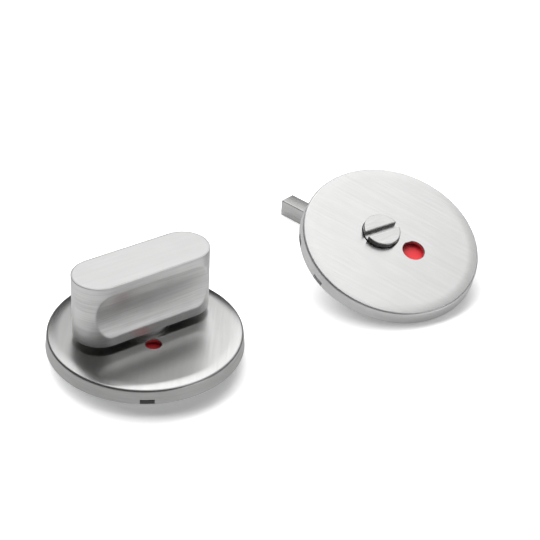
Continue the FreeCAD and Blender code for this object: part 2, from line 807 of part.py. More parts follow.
def check_document(pieces):
    """Stops if a feature failed, a cut took nothing away or a piece isn't one sound solid."""
    for item in doc.Objects:
        if "Invalid" in item.State or "Error" in item.State:
            raise RuntimeError("%s failed: %s" % (item.Name, item.State))
        if item.TypeId in CUTS and item.Shape.Volume >= item.BaseFeature.Shape.Volume:
            raise RuntimeError("%s takes nothing away" % item.Name)
    for piece in pieces:
        shape = piece.Shape
        if shape.isNull() or not shape.isValid() or len(shape.Solids) != 1:
            raise RuntimeError("%s isn't one valid solid" % piece.Label)


pieces = make_inside_half() + make_outside_half() + [make_spindle("spindle")]
doc.recompute()
check_document(pieces)
os.makedirs("parts", exist_ok=True)
for piece in pieces:
    piece.Shape.exportStep("parts/%s.step" % piece.Label)
    print("%-24s volume %9.2f mm3" % (piece.Label, piece.Shape.Volume))
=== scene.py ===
"""Looks of a bathroom lock set: two brushed steel roses, a thumb turn, a coin release and a square spindle.

The set lies on a white surface. Each half has a frame of its own, in millimetres: the origin is on the axis of
its turning piece at the door's face, X points to the sight window and Z points out of the door. Meshes are worked
out in that frame and written in the row frame, in metres, with every object at the origin.
"""

import json
import logging
import math
from dataclasses import dataclass, field
from enum import Enum

import bmesh
import bpy
import numpy as np
from mathutils import Matrix, Vector
from mathutils.geometry import tessellate_polygon


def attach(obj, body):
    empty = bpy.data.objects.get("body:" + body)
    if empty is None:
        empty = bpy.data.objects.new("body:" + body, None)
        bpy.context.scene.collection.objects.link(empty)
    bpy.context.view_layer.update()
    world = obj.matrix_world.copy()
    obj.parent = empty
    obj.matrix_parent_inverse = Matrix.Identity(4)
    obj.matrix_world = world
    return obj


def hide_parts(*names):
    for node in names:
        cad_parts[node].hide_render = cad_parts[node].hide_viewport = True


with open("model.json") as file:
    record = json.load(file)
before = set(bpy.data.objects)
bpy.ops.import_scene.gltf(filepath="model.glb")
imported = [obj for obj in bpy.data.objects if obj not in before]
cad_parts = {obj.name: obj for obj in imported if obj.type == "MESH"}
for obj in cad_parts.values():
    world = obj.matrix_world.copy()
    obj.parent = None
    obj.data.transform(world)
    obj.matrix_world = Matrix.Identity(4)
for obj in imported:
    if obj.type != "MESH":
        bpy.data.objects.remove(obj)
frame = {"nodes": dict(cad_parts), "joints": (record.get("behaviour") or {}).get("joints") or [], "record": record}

Array = np.ndarray
Colour = tuple[float, float, float]
Triple = tuple[float, float, float]
Point = tuple[float, float]
Span = tuple[float, float]
Material = bpy.types.Material
Node = bpy.types.Node
Socket = bpy.types.NodeSocket

LOG = logging.getLogger("lock_set")
MM = 0.001
FULL_TURN = 2.0 * np.pi
SQUARE = np.array(((-1.0, -1.0), (1.0, -1.0), (1.0, 1.0), (-1.0, 1.0)))
HALF_TURN = np.array((-1.0, -1.0, 1.0))
UNIT = (0.0, 1.0)
MERGE_DISTANCE = 1e-6
NEAR_ZERO = 1e-9
STEP_ANGLE = 1e-7
SLOT_CLEARANCE = 0.004
SHARP_ANGLE = math.radians(28.0)
UV_NAME = "brushing"

# Numbers of points along the lines of the new surfaces.
RIM_POINTS = 540
SLOT_POINTS = 9
CROWN_POINTS = 13
EDGE_POINTS = 11
WALL_POINTS = 6
HOLE_POINTS = 160
NECK_POINTS = 128
GRIP_END_POINTS = 45
GRIP_SIDE_POINTS = 61
GRIP_ROWS = 119
GRIP_TOP_POINTS = 9
ROUND_POINTS = 7
COIN_ARC_POINTS = 81
COIN_CHORD_POINTS = 41
COIN_GAP_POINTS = 13
COIN_ROUND_POINTS = 6
COIN_ROWS = 5
BAR_ROWS = 9

# Brush marks: noise as detail and roughness, the bands' scales against the hairlines', and the ranges drawn out.
HAIRLINE_NOISE = (4.0, 0.62)
HAIRLINE_RANGE = (0.25, 0.75)
BAND_NOISE = (3.0, 0.55)
BAND_ACROSS = 0.25
BAND_ALONG = 0.33
BAND_START = 0.5
BAND_LAYER = 7.3
BAND_SHARE = 0.35
NOISE_RANGE = (0.3, 0.7)
CLOUD_DETAIL = 3.0
PIT_DETAIL = 2.0
STEEL_CLOUDS = 140.0
STEEL_WEAR = 0.25
STEEL_WARMTH = 0.005
FAR_SIDE_SHIFT = 50.0


class Side(Enum):
    """The two halves of the lock."""

    INSIDE = "inside"
    OUTSIDE = "outside"


class Body(Enum):
    """The rigid bodies that pieces ride on."""

    SET = "lock_set"
    TURN = "turn"
    RELEASE = "release"


@dataclass(frozen=True)
class Place:
    """A right-handed frame in the row frame.

    The origin is in metres, and the rows of basis are the frame's X, Y and Z directions.
    """

    origin: Array
    basis: Array

    def to_row(self, points: Array) -> Array:
        """Turns points of this frame, in millimetres, into points of the row frame, in metres."""
        return self.origin + MM * points @ self.basis

    @classmethod
    def along(cls, origin: Array, x_axis: Array, z_axis: Array) -> "Place":
        """Returns the frame with these X and Z directions."""
        return cls(origin, np.stack((x_axis, np.cross(z_axis, x_axis), z_axis)))

    def spun(self, degrees: float) -> "Place":
        """Returns this frame turned about its own Z."""
        return Place.along(self.origin, directions(math.radians(degrees)) @ self.basis[:2], self.basis[2])

    def moved_along_x(self, distance: float) -> "Place":
        """Returns this frame moved along its own X by a distance in millimetres."""
        return Place(self.origin + MM * distance * self.basis[0], self.basis)


def unit(vector: Array) -> Array:
    """Returns the vector of length one that points the same way."""
    return vector / np.linalg.norm(vector)


def mount(name: str) -> tuple[Array, Array]:
    """Returns the place, in metres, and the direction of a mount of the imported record."""
    found = next(item for item in frame["record"]["mounts"] if item["name"] == name)
    return np.array(found["pos_m"], float), np.array(found["axis"], float)


def place_of_half(side: Side) -> Place:
    """Returns a half's frame: Z is along its screws, and X points to the mount on its back, under the window."""
    origin, z_axis = mount(f"{side.value}_bolts")
    return Place.along(origin, unit(mount(f"{side.value}_back")[0] - origin), z_axis)


def place_of_spindle() -> Place:
    """Returns the frame at the spindle's mounted end, with X into the bar and Z up."""
    tip, outwards = mount("spindle_bar")
    return Place.along(tip, -outwards, np.array((0.0, 0.0, 1.0)))


def rest_angle(joint_name: str, locked_end: int) -> float:
    """Returns the degrees from a turning piece's locked place, which is one end of its range, to its place at rest."""
    joint = next(item for item in frame["joints"] if item["name"] == joint_name)
    return -joint["range_deg"][locked_end]


def ring(radius: float | Array, angles: Array, height: float | Array, centre_x: float = 0.0) -> Array:
    """Returns points round an axis along Z, from radii, angles and heights."""
    x, y = centre_x + radius * np.cos(angles), radius * np.sin(angles)
    return np.stack((x, y, np.broadcast_to(height, x.shape)), axis=-1)


def even_angles(count: int) -> Array:
    """Returns angles evenly spaced round a full turn, open at its end."""
    return np.linspace(0.0, FULL_TURN, count, endpoint=False)


def quarter(count: int) -> Array:
    """Returns angles from nought to a quarter turn."""
    return np.linspace(0.0, np.pi / 2.0, count)


def directions(angles: Array) -> Array:
    """Returns the plane's unit vectors at angles."""
    return np.stack((np.cos(angles), np.sin(angles)), axis=-1)


def at_height(outline: Array, height: float) -> Array:
    """Returns the plane's points as points at one height."""
    return np.column_stack((outline, np.full(len(outline), height)))


def lengths_along(points: Array) -> Array:
    """Returns the length up to each point along lines of points, which follow the first axis."""
    steps = np.linalg.norm(np.diff(points, axis=0), axis=-1)
    return np.concatenate((np.zeros_like(steps[:1]), np.cumsum(steps, axis=0)))


def spread_marks(across: Array, along: Array) -> Array:
    """Returns UVs from values across and along the brush marks, spread over rows and columns."""
    return np.stack(np.broadcast_arrays(across, along), axis=-1)


def edge_rounding(size: float, margin: float, count: int) -> tuple[Array, Array]:
    """Returns heights and insets of rows up a rounded edge, from its foot, and of one on the flat inside it."""
    bend = quarter(count)
    return np.append(size * np.sin(bend), size), np.append(size * (1.0 - np.cos(bend)), size + margin)


def new_object(data: bpy.types.ID) -> bpy.types.Object:
    """Makes an object for a mesh, lamp or camera and links it to the scene.

    Args:
        data: The mesh, lamp or camera.

    Returns:
        The object, at the origin.
    """
    made = bpy.data.objects.new(data.name, data)
    bpy.context.scene.collection.objects.link(made)
    return made


def rounded_corner(before: Point, corner: Point, after: Point, radius: float, count: int) -> Array:
    """Arc that rounds the corner between two straight lines, on the circle that touches both.

    Args:
        before: A point of the first line.
        corner: The point where the lines meet.
        after: A point of the second line.
        radius: The circle's radius.
        count: Number of points.

    Returns:
        The arc's points, from the first line to the second.
    """
    start, middle, end = np.array((before, corner, after), float)
    first, second = unit(start - middle), unit(end - middle)
    half_angle = math.acos(float(first @ second)) / 2.0
    centre = middle + unit(first + second) * radius / math.sin(half_angle)
    touches = middle + np.stack((first, second)) * radius / math.tan(half_angle) - centre
    bend = np.linspace(*np.arctan2(touches[:, 1], touches[:, 0]), count)
    return centre + radius * directions(bend)


def soft_least(first: Array, second: Array, width: float) -> Array:
    """Returns the lesser of two surfaces, lowered by a quarter of width times the square of how near they are."""
    nearness = np.maximum(width - np.abs(first - second), 0.0) / width
    return np.minimum(first, second) - 0.25 * width * nearness ** 2


@dataclass
class Shell:
    """Patches of one piece, gathered as whole arrays and joined into one closed mesh.

    A patch's UV map is in millimetres: V runs along the brush marks and U across them. Patches are added with the
    finish that is set at the time, as the number of a material slot.
    """

    points: list[Array] = field(default_factory=list)
    marks: list[Array] = field(default_factory=list)
    faces: list[list[int]] = field(default_factory=list)
    finishes: list[int] = field(default_factory=list)
    finish: int = 0
    count: int = 0

    def take(self, points: Array, marks: Array, faces: Array) -> None:
        """Adds a patch.

        Args:
            points: Its points.
            marks: Their UVs.
            faces: Its faces, which count from the first of the points.
        """
        self.points.append(points.reshape(-1, 3))
        self.marks.append(marks.reshape(-1, 2))
        self.faces.extend((faces + self.count).tolist())
        self.finishes.extend([self.finish] * len(faces))
        self.count += points.size // 3

    def add_grid(
        self, points: Array, marks: Array, lap: float | None = None, openings: Array | None = None
    ) -> None:
        """Adds a grid of points as four-sided faces.

        Args:
            points: Points as rows by columns by three.
            marks: UVs as rows by columns by two.
            lap: V length once round, for a grid whose last column joins its first.
            openings: Which faces are left out, as rows by columns.
        """
        if lap is not None:
            points = np.concatenate((points, points[:, :1]), axis=1)
            marks = np.concatenate((marks, marks[:, :1] + np.array((0.0, lap))), axis=1)
        rows, columns = points.shape[:2]
        index = np.arange(rows * columns).reshape(rows, columns)
        faces = np.stack((index[:-1, :-1], index[:-1, 1:], index[1:, 1:], index[1:, :-1]), axis=-1)
        if openings is not None:
            faces = faces[~openings]
        self.take(points, marks, faces.reshape(-1, 4))

    def add_revolved(
        self, radii: Array, heights: Array, angles: Array, centre_x: float = 0.0, openings: Array | None = None
    ) -> None:
        """Adds a profile carried round an axis along Z, with brush marks round the axis.

        U is the length along the profile, and V is the angle times the largest radius.

        Args:
            radii: Radius of each profile point, or of each profile point at each angle.
            heights: Height of each profile point.
            angles: Angles of the columns.
            centre_x: Place of the axis on X.
            openings: Which faces are left out.
        """
        points = ring(radii.reshape(len(radii), -1), angles, heights[:, None], centre_x)
        marks = spread_marks(lengths_along(points), angles * radii.max())
        self.add_grid(points, marks, FULL_TURN * radii.max(), openings)

    def add_flat(self, loops: list[Array], brush_angle: float = 0.0) -> None:
        """Fills a flat face between an outer loop and holes, with straight brush marks.

        Args:
            loops: The outer loop and any holes, each as points of one height.
            brush_angle: Direction of the brush marks from Y, in radians.
        """
        points = np.concatenate(loops)
        faces = np.array(tessellate_polygon([[Vector(point) for point in loop] for loop in loops]))
        self.take(points, flat_marks(points, brush_angle), faces)

    def to_object(self, name: str, place: Place) -> bpy.types.Object:
        """Joins the patches into one mesh in the row frame and makes its object.

        Args:
            name: The piece's name.
            place: Frame that the patches are in.

        Returns:
            The object, at the origin.
        """
        points = place.to_row(np.concatenate(self.points))
        marks = np.concatenate(self.marks)
        mesh = bpy.data.meshes.new(name)
        mesh.from_pydata(points.tolist(), [], self.faces)
        corners = np.empty(len(mesh.loops), np.int32)
        mesh.loops.foreach_get("vertex_index", corners)
        layer = mesh.uv_layers.new(name=UV_NAME)
        layer.uv.foreach_set("vector", marks[corners].astype(np.float32).ravel())
        mesh.polygons.foreach_set("material_index", self.finishes)
        work = bmesh.new()
        work.from_mesh(mesh)
        bmesh.ops.remove_doubles(work, verts=work.verts, dist=MERGE_DISTANCE)
        bmesh.ops.recalc_face_normals(work, faces=work.faces)
        work.to_mesh(mesh)
        work.free()
        mesh.shade_smooth()
        mesh.set_sharp_from_angle(angle=SHARP_ANGLE)
        return new_object(mesh)


def flat_marks(points: Array, brush_angle: float) -> Array:
    """Returns UVs of a level face whose brush marks run at an angle, in radians, from Y."""
    cosine, sine = directions(brush_angle)
    return points[..., :2] @ np.array(((cosine, -sine), (sine, cosine)))


class Graph:
    """Places and links the nodes of one node tree."""

    def __init__(self, tree: bpy.types.NodeTree) -> None:
        """Starts on an empty node tree."""
        self.tree = tree
        tree.nodes.clear()

    def add(self, kind: str, inputs: dict[str | int, object] | None = None, **settings: object) -> Node:
        """Adds one node.

        Args:
            kind: The node's type, without its ShaderNode prefix.
            inputs: Input sockets by name or number, each with an output socket to link or a value to set.
            settings: Properties of the node.

        Returns:
            The node.
        """
        node = self.tree.nodes.new("ShaderNode" + kind)
        for name, value in settings.items():
            setattr(node, name, value)
        for key, value in (inputs or {}).items():
            if isinstance(value, Socket):
                self.tree.links.new(value, node.inputs[key])
            else:
                node.inputs[key].default_value = value
        return node

    def math(self, operation: str, first: object, second: object, third: object = 0.0) -> Socket:
        """Adds a Math node and returns its output."""
        return self.add("Math", {0: first, 1: second, 2: third}, operation=operation).outputs[0]

    def ranged(self, value: Socket, start: Span, end: Span, **settings: object) -> Socket:
        """Adds a Map Range node from one span to another and returns the mapped value."""
        return self.add("MapRange", dict(enumerate((value, *start, *end))), **settings).outputs[0]

    def mixed(self, factor: Socket, first: Colour, second: Colour) -> Socket:
        """Adds a colour Mix node between two colours and returns its colour."""
        return self.add("Mix", {0: factor, 6: (*first, 1.0), 7: (*second, 1.0)}, data_type="RGBA").outputs[2]

    def noise(self, vector: Socket, scale: object, detail: float, roughness: float = 0.5) -> Socket:
        """Adds a Noise Texture and returns its value."""
        inputs = {"Vector": vector, "Scale": scale, "Detail": detail, "Roughness": roughness}
        return self.add("TexNoise", inputs).outputs[0]

    def surface(self, height: Socket, depth: float, inputs: dict[str, object]) -> None:
        """Adds a Principled shader with a bump, and the material's output.

        Args:
            height: The bump's height, from nought to one.
            depth: What a height of one stands for, in metres.
            inputs: The shader's other inputs.
        """
        bump = self.add("Bump", {"Height": height, "Strength": 1.0, "Distance": depth})
        shader = self.add("BsdfPrincipled", {**inputs, "Normal": bump.outputs[0]})
        self.add("OutputMaterial", {"Surface": shader.outputs[0]})


def new_group(name: str, inputs: dict[str, str], outputs: tuple[str, ...]) -> tuple[Graph, Node, Node]:
    """Makes an empty node group with its sockets.

    Args:
        name: The group's name.
        inputs: Input sockets with their kinds, Float or Vector.
        outputs: Names of the output values.

    Returns:
        The group's graph, its input node and its output node.
    """
    tree = bpy.data.node_groups.new(name, "ShaderNodeTree")
    for label, kind in inputs.items():
        tree.interface.new_socket(label, in_out="INPUT", socket_type="NodeSocket" + kind)
    for label in outputs:
        tree.interface.new_socket(label, in_out="OUTPUT", socket_type="NodeSocketFloat")
    graph = Graph(tree)
    return graph, tree.nodes.new("NodeGroupInput"), tree.nodes.new("NodeGroupOutput")


@dataclass(frozen=True)
class Effects:
    """Node groups that several finishes share."""

    brush_marks: bpy.types.NodeTree
    handling: bpy.types.NodeTree

    @classmethod
    def make(cls) -> "Effects":
        """Builds the groups once."""
        return cls(cls.make_brush_marks(), cls.make_handling())

    @staticmethod
    def make_brush_marks() -> bpy.types.NodeTree:
        """Builds the marks of an abrasive belt.

        Noise is stretched along V: fine hairlines, and broader bands four times as wide and three times as long.

        Returns:
            A group that puts out the hairlines and bands together, and the hairlines alone.
        """
        sockets = {"Vector": "Vector", "Width": "Float", "Length": "Float"}
        graph, entry, leave = new_group("brush_marks", sockets, ("Marks", "Hairlines"))
        split = graph.add("SeparateXYZ", {0: entry.outputs["Vector"]})
        across = graph.math("DIVIDE", split.outputs[0], entry.outputs["Width"])
        along = graph.math("DIVIDE", split.outputs[1], entry.outputs["Length"])
        fine = graph.add("CombineXYZ", {0: across, 1: along}).outputs[0]
        hairlines = graph.noise(fine, 1.0, *HAIRLINE_NOISE)
        wide_across = graph.math("MULTIPLY", across, BAND_ACROSS)
        wide_along = graph.math("MULTIPLY_ADD", along, BAND_ALONG, BAND_START)
        wide = graph.add("CombineXYZ", {0: wide_across, 1: wide_along, 2: BAND_LAYER}).outputs[0]
        bands = graph.math("MULTIPLY", graph.noise(wide, 1.0, *BAND_NOISE), BAND_SHARE)
        both = graph.math("MULTIPLY_ADD", hairlines, 1.0 - BAND_SHARE, bands)
        graph.tree.links.new(graph.ranged(both, NOISE_RANGE, UNIT), leave.inputs["Marks"])
        graph.tree.links.new(graph.ranged(hairlines, HAIRLINE_RANGE, UNIT), leave.inputs["Hairlines"])
        return graph.tree

    @staticmethod
    def make_handling() -> bpy.types.NodeTree:
        """Builds soft clouds of handling and fine pits, from noise on the piece's own coordinates in metres.

        Returns:
            A group that puts out the clouds and the pits.
        """
        sockets = {"Vector": "Vector", "Cloud Scale": "Float", "Pit Scale": "Float"}
        graph, entry, leave = new_group("handling", sockets, ("Clouds", "Pits"))
        for scale, label, detail in (("Cloud Scale", "Clouds", CLOUD_DETAIL), ("Pit Scale", "Pits", PIT_DETAIL)):
            noise = graph.noise(entry.outputs["Vector"], entry.outputs[scale], detail)
            graph.tree.links.new(graph.ranged(noise, NOISE_RANGE, UNIT), leave.inputs[label])
        return graph.tree

    def add_handling(self, graph: Graph, clouds: float, pits: float = 0.0) -> Node:
        """Adds the group of clouds and pits, at scales on the piece's own coordinates, and returns its node."""
        inputs = {"Vector": graph.add("TexCoord").outputs["Object"], "Cloud Scale": clouds, "Pit Scale": pits}
        return graph.add("Group", inputs, node_tree=self.handling)


def nodes_of(owner: Material | bpy.types.World) -> Graph:
    """Returns the graph of a material or of the world, with no nodes yet."""
    owner.use_nodes = True
    return Graph(owner.node_tree)


@dataclass(frozen=True)
class BrushedSteel:
    """Stainless steel with belt marks that follow the piece's UV map.

    Dark and pale are shares of light, roughness goes from pale to dark, and the marks' width and length are in
    millimetres and their height in metres.
    """

    name: str
    dark: float
    pale: float
    roughness: Span
    anisotropy: float
    mark_width: float
    mark_length: float
    mark_height: float

    @staticmethod
    def tint(level: float) -> Colour:
        """Returns a grey that is a trace warmer than neutral."""
        return (level, level, level - STEEL_WARMTH)

    def make(self, effects: Effects) -> Material:
        """Builds the material.

        Args:
            effects: The shared node groups.

        Returns:
            The material.
        """
        material = bpy.data.materials.new(self.name)
        graph = nodes_of(material)
        uv = graph.add("UVMap", uv_map=UV_NAME).outputs[0]
        sizes = {"Vector": uv, "Width": self.mark_width, "Length": self.mark_length}
        marks = graph.add("Group", sizes, node_tree=effects.brush_marks)
        clouds = effects.add_handling(graph, STEEL_CLOUDS).outputs["Clouds"]
        worn = graph.math("MULTIPLY_ADD", clouds, STEEL_WEAR, -STEEL_WEAR / 2.0)
        rubbed = graph.math("ADD", marks.outputs["Marks"], worn)
        tangent = graph.add("Tangent", direction_type="UV_MAP", uv_map=UV_NAME)
        graph.surface(marks.outputs["Hairlines"], self.mark_height, {
            "Base Color": graph.mixed(graph.ranged(rubbed, UNIT, UNIT), self.tint(self.dark), self.tint(self.pale)),
            "Metallic": 1.0,
            "Roughness": graph.ranged(rubbed, UNIT, self.roughness[::-1]),
            "Anisotropic": self.anisotropy,
            "Tangent": tangent.outputs[0],
        })
        return material


@dataclass(frozen=True)
class CastFinish:
    """Metal, plastic or lacquer without a direction, clouded and pitted on the piece's own coordinates."""

    name: str
    dark: Colour
    pale: Colour
    metallic: float
    roughness: Span
    cloud_scale: float
    pit_scale: float
    pit_height: float
    coat: float = 0.0
    coat_roughness: float = 0.08

    def make(self, effects: Effects) -> Material:
        """Builds the material.

        Args:
            effects: The shared node groups.

        Returns:
            The material.
        """
        material = bpy.data.materials.new(self.name)
        graph = nodes_of(material)
        handling = effects.add_handling(graph, self.cloud_scale, self.pit_scale)
        pits = handling.outputs["Pits"]
        graph.surface(pits, self.pit_height, {
            "Base Color": graph.mixed(handling.outputs["Clouds"], self.dark, self.pale),
            "Metallic": self.metallic,
            "Roughness": graph.ranged(pits, UNIT, self.roughness),
            "Coat Weight": self.coat,
            "Coat Roughness": self.coat_roughness,
        })
        return material


ROSE_STEEL = BrushedSteel("rose_steel", 0.62, 0.68, (0.2, 0.24), 0.9, 0.22, 12.0, 3e-7)
# The inside rose's rim: a darkened copy of the rim steel, painted shade for the shadowed floor that its wall mirrors.
SHADED_RIM_STEEL = BrushedSteel("rim_steel", 0.44, 0.57, (0.28, 0.36), 0.6, 0.16, 9.0, 1e-6)
# The outside rose's rim: a lightened copy of the same rim steel, painted light on a wall that mirrors the floor in the
# disc's shadow.
LIT_RIM_STEEL = BrushedSteel("edge_steel", 0.8, 0.92, (0.38, 0.46), 0.6, 0.16, 9.0, 1e-6)
GRIP_STEEL = BrushedSteel("grip_steel", 0.66, 0.9, (0.38, 0.46), 0.3, 0.3, 13.0, 4e-6)
# The turn's top: a lighter copy of the grip's steel, painted light on the face that catches the light from above.
LIT_TOP_STEEL = BrushedSteel("top_steel", 0.89, 0.97, (0.45, 0.53), 0.5, 0.25, 16.0, 1e-6)
COIN_STEEL = BrushedSteel("coin_steel", 0.56, 0.7, (0.2, 0.3), 0.4, 0.18, 5.0, 2e-6)
BAR_STEEL = BrushedSteel("bar_steel", 0.48, 0.66, (0.22, 0.3), 0.4, 0.25, 16.0, 2e-6)
PLATED_STEEL = CastFinish(
    "plated_steel", (0.48, 0.49, 0.5), (0.66, 0.67, 0.68), 1.0, (0.28, 0.46), 260.0, 3200.0, 4e-6
)
SPRING_STEEL = CastFinish(
    "spring_steel", (0.08, 0.08, 0.085), (0.16, 0.16, 0.165), 1.0, (0.3, 0.45), 420.0, 2600.0, 2e-6
)
BEARING_PLASTIC = CastFinish(
    "bearing_plastic", (0.7, 0.69, 0.65), (0.82, 0.81, 0.78), 0.0, (0.42, 0.58), 180.0, 3600.0, 4e-6
)
WHITE_LACQUER = CastFinish(
    "white_lacquer", (0.78, 0.78, 0.77), (0.86, 0.86, 0.85), 0.0, (0.3, 0.4), 160.0, 1500.0, 2e-6, coat=0.3
)
RED_LACQUER = CastFinish(
    "red_lacquer", (0.84, 0.035, 0.045), (0.94, 0.05, 0.065), 0.0, (0.45, 0.55), 240.0, 1500.0, 2e-6
)


@dataclass
class Stem:
    """The part of a turning piece below its head: the disc's keyed seat, the ring groove and the square socket."""

    socket_depth: float
    disc_top: float = 2.6
    disc_bottom: float = 1.9
    key_radius: float = 5.2
    shank_radius: float = 4.5
    ring_top: float = -2.0
    ring_bottom: float = -2.85
    seat_radius: float = 4.1
    end: float = -3.4
    end_bevel: float = 0.3
    socket_half: float = 2.525

    def key_outline(self, angles: Array) -> Array:
        """Returns the radius, at angles, of a circle cut by two flats."""
        flats = self.shank_radius / np.maximum(np.abs(np.cos(angles)), NEAR_ZERO)
        return np.minimum(self.key_radius, flats)

    def add_to(self, shell: Shell, angles: Array, head_radius: float) -> None:
        """Adds the stem below a round head.

        The profile steps in from the head to the keyed seat, the shank, the groove and the bevelled end. The end
        face has a square hole, whose four walls and end are flat.

        Args:
            shell: The piece's patches.
            angles: Angles of the head's lowest points.
            head_radius: The head's radius where it meets the disc.
        """
        key, shank, seat = self.key_outline(angles), self.shank_radius, self.seat_radius
        tip = shank - self.end_bevel
        profile = (head_radius, key, key, shank, shank, seat, seat, shank, shank, tip)
        steps = np.repeat((self.disc_top, self.disc_bottom, self.ring_top, self.ring_bottom), 2)
        heights = np.append(steps, (self.end + self.end_bevel, self.end))
        radii = np.stack([np.broadcast_to(radius, angles.shape) for radius in profile])
        shell.add_revolved(radii, heights, angles)
        mouth = at_height(self.socket_half * SQUARE, self.end)
        inner = at_height(self.socket_half * SQUARE, self.end + self.socket_depth)
        shell.add_flat([ring(tip, angles, self.end), mouth])
        side = 2.0 * self.socket_half
        marks = spread_marks(np.array(((0.0,), (self.socket_depth,))), side * np.arange(4))
        shell.add_grid(np.stack((mouth, inner)), marks, 4.0 * side)
        shell.add_flat([inner])


@dataclass
class RoseCover:
    """A round cup over one half, with a passage for the turning piece, a sight window and pry slots."""

    side: Side
    passage_radius: float
    window_radius: float
    slot_angles: tuple[float, ...]
    brush_angle: float
    radius: float = 26.0
    height: float = 4.25
    wall: float = 1.0
    crown_width: float = 2.4
    crown_drop: float = 0.3
    crown_round: float = 18.0
    edge_round: float = 0.7
    wall_draft: float = 0.4
    rim_bevel: float = 0.15
    passage_bevel: float = 0.04
    window_bevel: float = 0.15
    turn_offset: float = 3.5
    window_from_centre: float = 7.0
    slot_width: float = 3.7
    slot_low: float = 0.85
    ramp_low: float = 0.25
    ramp_depth: float = 0.45
    groove_low: float = 0.4
    groove_high: float = 1.4
    groove_depth: float = 0.15
    flat_margin: float = 0.3

    def slot_columns(self) -> Array:
        """Returns the angles across a pry slot, from its middle."""
        half_angle = math.asin(self.slot_width / 2.0 / self.radius)
        return np.linspace(-half_angle, half_angle, SLOT_POINTS)

    def rim_angles(self) -> tuple[Array, Array]:
        """Angles round the rim: even ones, and across each slot the slot's own, with its two ends doubled.

        Returns:
            The angles, and whether each of them belongs to a slot.
        """
        columns = self.slot_columns()
        middles = np.radians(self.slot_angles)[:, None]
        even = even_angles(RIM_POINTS)
        away = np.abs(np.mod(even - middles + np.pi, FULL_TURN) - np.pi)
        free = even[(away > columns[-1] + SLOT_CLEARANCE).all(axis=0)]
        inside = (middles + columns).ravel()
        beside = (middles + (columns[-1] + STEP_ANGLE) * np.array((-1.0, 1.0))).ravel()
        angles = np.mod(np.concatenate((inside, beside, free)), FULL_TURN)
        order = np.argsort(angles)
        return angles[order], order < inside.size

    def face_profiles(self) -> tuple[Array, Array]:
        """Rounds the face's crowned border and the edge below it.

        Returns:
            Their profiles.
        """
        crown = (self.radius - self.crown_width, self.height)
        edge = (self.radius - self.wall_draft, self.height - self.crown_drop)
        border = rounded_corner((0.0, self.height), crown, edge, self.crown_round, CROWN_POINTS)
        edge_arc = rounded_corner(crown, edge, (self.radius, self.rim_bevel), self.edge_round, EDGE_POINTS)
        margin = (border[0, 0] - self.flat_margin, self.height)
        return np.vstack((margin, border, edge_arc[0])), edge_arc

    def add_rim(self, shell: Shell, edge: Array, angles: Array, in_slot: Array) -> None:
        """Adds the rim: the edge, the drafted wall, the bevelled foot and the inner wall with its groove.

        The profile is carried round the axis. Across a slot the wall is set back to a ramp and open above it, as is
        the groove behind it, and a loop of faces through the wall joins the two openings.

        Args:
            shell: The piece's patches.
            edge: Profile of the rounded edge.
            angles: The rim's angles.
            in_slot: Whether each angle belongs to a slot.
        """
        inner, low, high = self.radius - self.wall, self.groove_low, self.groove_high
        groove = inner + self.groove_depth
        ramp = self.radius - self.ramp_depth
        upper = np.linspace(edge[-1, 1], high, WALL_POINTS)[1:]
        heights = np.append(upper, (self.slot_low, self.ramp_low, self.rim_bevel))
        slope = self.wall_draft / (self.height - self.crown_drop - self.rim_bevel)
        wall = np.column_stack((self.radius - slope * (heights - self.rim_bevel), heights))
        foot = ((self.radius - self.rim_bevel, 0.0), (inner, 0.0), (inner, low))
        back = ((groove, low), (groove, self.slot_low), (groove, high), (inner, high), (inner, self.height - self.wall))
        profile = np.concatenate((edge, wall, foot, back))
        lip = len(edge) + len(upper)
        radii = np.repeat(profile[:, :1], len(angles), axis=1)
        radii[lip, in_slot] = ramp
        openings = np.zeros((len(profile) - 1, len(angles)), bool)
        behind = lip + 7  # the groove's row at the height of the slot's lip
        openings[[lip - 1, behind]] = in_slot & np.roll(in_slot, -1)
        shell.add_revolved(radii, profile[:, 1], angles, 0.0, openings)
        for middle in np.radians(self.slot_angles):
            across = middle + self.slot_columns()
            turned = np.concatenate((across, across[::-1]))
            level = np.repeat((self.slot_low, high), len(across))
            mouth = np.repeat((ramp, profile[lip - 1, 0]), len(across))
            loops = np.stack((ring(mouth, turned, level), ring(groove, turned, level)))
            along = np.linspace(0.0, 2.0 * self.slot_width, len(turned))
            marks = spread_marks(np.array(((0.0,), (self.wall,))), along)
            shell.add_grid(loops, marks, along[-1] + along[1])

    def add_hole(self, shell: Shell, radius: float, centre_x: float, bevel: float) -> tuple[Array, Array]:
        """Adds the wall of a round hole with a bevelled upper edge.

        Args:
            shell: The piece's patches.
            radius: The hole's radius.
            centre_x: The hole's place on X.
            bevel: Size of the upper edge's bevel.

        Returns:
            The hole's loops in the face and in the underside.
        """
        angles = even_angles(HOLE_POINTS)
        radii = np.array((radius + bevel, radius, radius))
        heights = np.array((self.height, self.height - bevel, self.height - self.wall))
        shell.add_revolved(radii, heights, angles, centre_x)
        return ring(radii[0], angles, heights[0], centre_x), ring(radius, angles, heights[2], centre_x)

